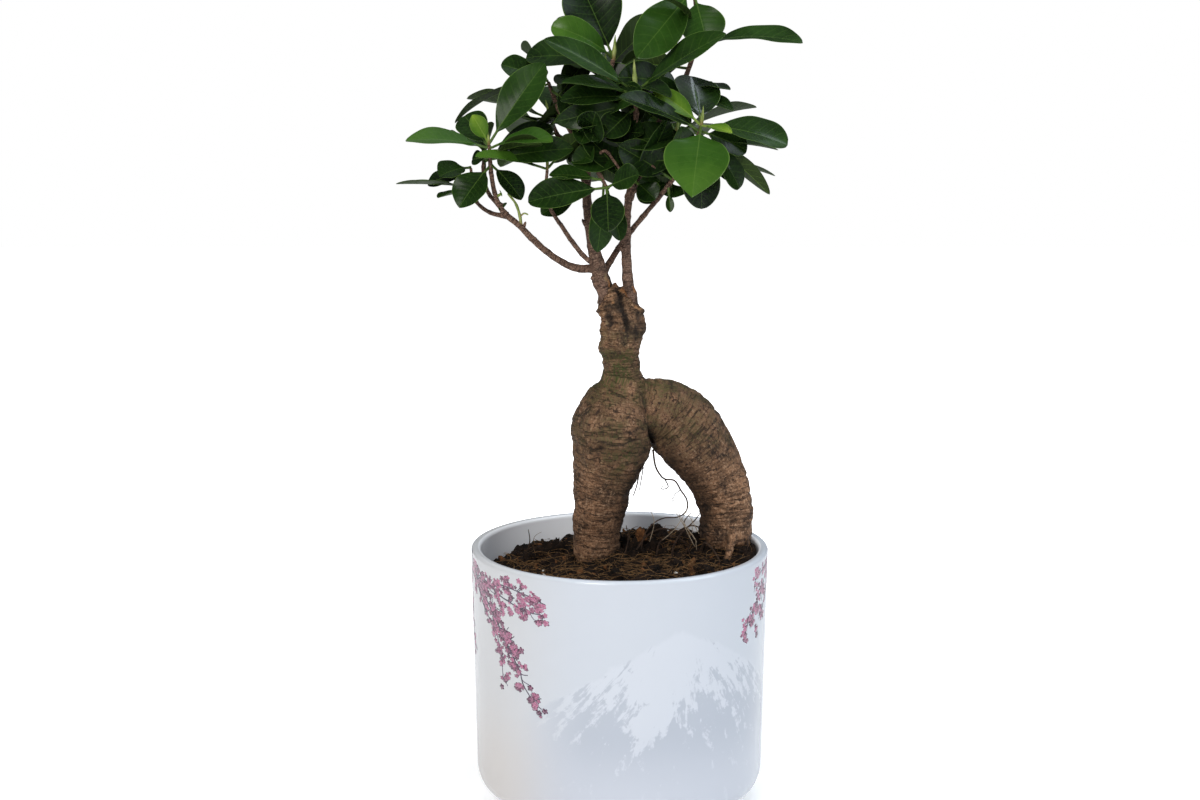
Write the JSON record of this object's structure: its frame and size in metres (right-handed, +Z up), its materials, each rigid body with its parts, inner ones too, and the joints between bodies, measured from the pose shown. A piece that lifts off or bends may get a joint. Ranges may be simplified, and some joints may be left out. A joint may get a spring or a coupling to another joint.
{
  "type": "potted bonsai fig tree",
  "caption": "Small fig bonsai with a swollen two-legged rootstock, grafted leafy branches and soil in a round glazed pot.",
  "frame": {"origin": "centre of the pot's flat underside, on the surface that it stands on", "axes": "+Z up along the pot's axis and the object's longest side, -Y towards the tree's front, +X towards the leg that arches out on the right"},
  "size_m": [0.1831, 0.1401, 0.4028],
  "materials": {
    "glaze": "gloss",
    "soil": "matte",
    "bark": "matte",
    "twig": "matte",
    "leaf": "satin",
    "young_leaf": "satin"
  },
  "bodies": {
    "root": {"pot": "glaze", "soil": "soil", "rootstock": "bark", "left_stem": "twig", "right_stem": "twig", "long_left_branch": "twig", "inner_left_branch": "twig", "upper_left_branch": "twig", "cross_branch": "twig", "right_top_branch": "twig", "back_left_branch": "twig", "back_top_branch": "twig", "back_right_branch": "twig", "front_twig": "twig", "leaf_left_1": "leaf", "leaf_left_2": "leaf", "leaf_left_3": "leaf", "leaf_left_4": "leaf", "leaf_left_5": "leaf", "leaf_left_6": "leaf", "leaf_left_7": "leaf", "leaf_left_8": "leaf", "leaf_left_9": "leaf", "leaf_left_10": "leaf", "leaf_inner_1": "leaf", "leaf_upper_1": "leaf", "leaf_upper_2": "leaf", "leaf_upper_3": "leaf", "leaf_front_1": "leaf", "leaf_front_2": "leaf", "leaf_front_3": "leaf", "leaf_front_4": "leaf", "leaf_front_5": "leaf", "leaf_crown_1": "leaf", "leaf_crown_2": "leaf", "leaf_crown_3": "leaf", "leaf_crown_4": "leaf", "leaf_crown_5": "leaf", "leaf_crown_6": "leaf", "leaf_top_1": "leaf", "leaf_top_2": "leaf", "leaf_top_3": "leaf", "leaf_top_4": "leaf", "leaf_top_5": "leaf", "leaf_top_6": "leaf", "leaf_right_1": "leaf", "leaf_right_2": "leaf", "leaf_right_3": "young_leaf", "leaf_right_4": "leaf", "leaf_right_5": "leaf", "leaf_right_6": "leaf", "leaf_right_7": "leaf", "leaf_right_8": "leaf", "leaf_back_1": "leaf", "leaf_back_2": "leaf", "leaf_back_3": "leaf", "leaf_back_4": "leaf", "leaf_back_5": "leaf", "leaf_back_6": "leaf", "leaf_back_7": "leaf"}
  },
  "joints": []
}
